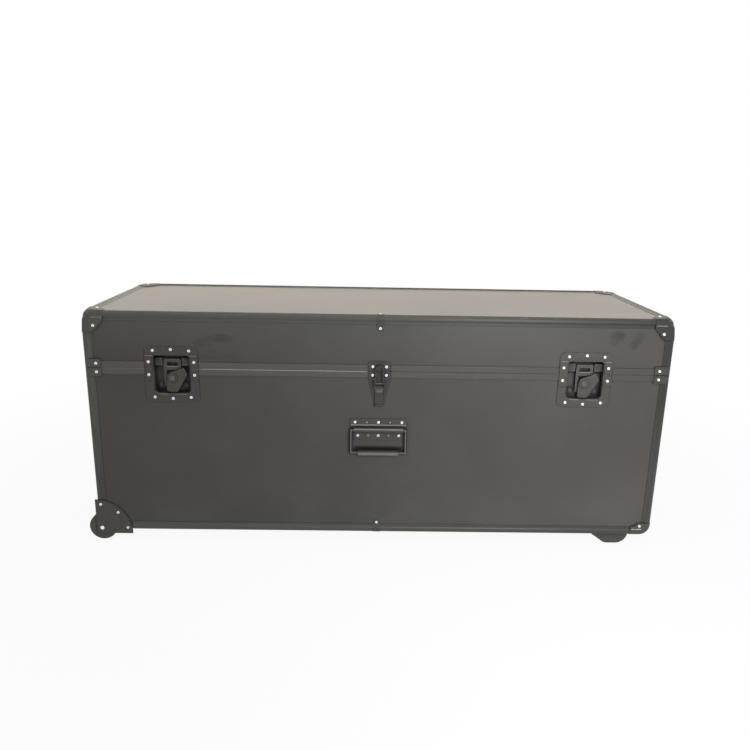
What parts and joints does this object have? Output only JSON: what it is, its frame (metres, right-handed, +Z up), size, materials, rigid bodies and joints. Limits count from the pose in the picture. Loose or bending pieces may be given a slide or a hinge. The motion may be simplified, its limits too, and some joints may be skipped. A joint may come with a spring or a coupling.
{
  "type": "steamer trunk",
  "caption": "Long dark flight-case style trunk with edge rails, hinged lid, recessed twist latches, draw catch, folding handles, corner wheels and hump feet.",
  "frame": {"origin": "on the floor under the middle of the case", "axes": "+X to the right along the length, -Y out of the front with the latches, +Z up"},
  "size_m": [1.2328, 0.4211, 0.5073],
  "materials": {
    "laminate": "dark grey textured laminate on plywood",
    "rail": "black anodised extrusion, satin",
    "rim": "dark anodised extrusion, satin",
    "cap": "black powder coat",
    "rivet": "bright plated",
    "tyre": "matt black",
    "hub": "black moulded",
    "foot": "matt black moulded",
    "grip": "black moulded sleeve",
    "pin": "dark plated",
    "bracket": "black powder coat",
    "latch": "black powder coat, rubbed on the edges",
    "hardware": "black powder coat"
  },
  "bodies": {
    "base": {"base_front_panel": "laminate", "base_back_panel": "laminate", "base_left_panel": "laminate", "base_right_panel": "laminate", "base_bottom_panel": "laminate", "base_bottom_rails": "rail", "base_corner_posts": "rail", "base_rim_groove": "rim", "base_corner_caps": "cap", "base_rim_braces": "cap", "wheel_bracket_front": "bracket", "wheel_bracket_back": "bracket", "wheel_axle_front": "pin", "wheel_axle_back": "pin", "foot_front": "foot", "foot_back": "foot", "latch_tray_left": "latch", "latch_tray_right": "latch", "latch_spindle_left": "pin", "latch_spindle_right": "pin", "draw_catch_base": "hardware", "draw_catch_pin": "pin", "handle_plate_front": "hardware", "handle_plate_end": "hardware", "hinge_leaf_base_left": "hardware", "hinge_leaf_base_right": "hardware", "hinge_pin_left": "pin", "hinge_pin_right": "pin", "base_rivets": "rivet"},
    "lid": {"lid_top_panel": "laminate", "lid_front_panel": "laminate", "lid_back_panel": "laminate", "lid_left_panel": "laminate", "lid_right_panel": "laminate", "lid_top_rails": "rail", "lid_corner_posts": "rail", "lid_rim_tongue": "rim", "lid_corner_caps": "cap", "lid_rim_braces": "cap", "keeper_tray_left": "latch", "keeper_tray_right": "latch", "draw_catch_strike": "hardware", "hinge_leaf_lid_left": "hardware", "hinge_leaf_lid_right": "hardware", "lid_rivets": "rivet"},
    "wheel_front": {"wheel_tyre_front": "tyre", "wheel_hub_front": "hub"},
    "wheel_back": {"wheel_tyre_back": "tyre", "wheel_hub_back": "hub"},
    "hook_left": {"latch_hook_left": "latch"},
    "hook_right": {"latch_hook_right": "latch"},
    "wing_left": {"latch_wing_left": "latch"},
    "wing_right": {"latch_wing_right": "latch"},
    "lever": {"draw_catch_lever": "hardware", "draw_catch_loop_pin": "pin"},
    "loop": {"draw_catch_loop": "hardware"},
    "bail_front": {"handle_bail_front": "hardware", "handle_grip_front": "grip"},
    "bail_end": {"handle_bail_end": "hardware", "handle_grip_end": "grip"}
  },
  "joints": [
    {"name": "lid_hinge", "type": "hinge", "parent": "base", "child": "lid", "pos_m": [0, 0.2043, 0.388], "axis": [-1, 0, 0], "range_deg": [0, 100]},
    {"name": "wheel_front_spin", "type": "hinge", "parent": "base", "child": "wheel_front", "pos_m": [-0.593, -0.1873, 0.0295], "axis": [0, 1, 0], "continuous": true},
    {"name": "wheel_back_spin", "type": "hinge", "parent": "base", "child": "wheel_back", "pos_m": [-0.593, 0.1873, 0.0295], "axis": [0, 1, 0], "continuous": true},
    {"name": "wing_left_turn", "type": "hinge", "parent": "base", "child": "wing_left", "pos_m": [-0.424, -0.1913, 0.367], "axis": [0, 1, 0], "range_deg": [0, 170]},
    {"name": "hook_left_slide", "type": "slide", "parent": "base", "child": "hook_left", "axis": [0, 0.7071, -0.7071], "range_m": [0, 0.0059]},
    {"name": "wing_right_turn", "type": "hinge", "parent": "base", "child": "wing_right", "pos_m": [0.424, -0.1913, 0.367], "axis": [0, 1, 0], "range_deg": [0, 170]},
    {"name": "hook_right_slide", "type": "slide", "parent": "base", "child": "hook_right", "axis": [0, 0.7071, -0.7071], "range_m": [0, 0.0059]},
    {"name": "lever_turn", "type": "hinge", "parent": "base", "child": "lever", "pos_m": [0, -0.2038, 0.373], "axis": [-1, 0, 0], "range_deg": [0, 120]},
    {"name": "loop_swing", "type": "hinge", "parent": "lever", "child": "loop", "pos_m": [0, -0.2035, 0.363], "axis": [1, 0, 0], "range_deg": [0, 150]},
    {"name": "bail_front_swing", "type": "hinge", "parent": "base", "child": "bail_front", "pos_m": [0, -0.2063, 0.2625], "axis": [-1, 0, 0], "range_deg": [0, 95]},
    {"name": "bail_end_swing", "type": "hinge", "parent": "base", "child": "bail_end", "pos_m": [0.6038, 0, 0.2625], "axis": [0, -1, 0], "range_deg": [0, 95]}
  ],
  "couplings": [
    {"joint": "wing_left_turn", "follows": "hook_left_slide", "rad_per_m": 502.89},
    {"joint": "wing_right_turn", "follows": "hook_right_slide", "rad_per_m": 502.89},
    {"joint": "loop_swing", "follows": "lever_turn", "ratio": 1.25}
  ]
}
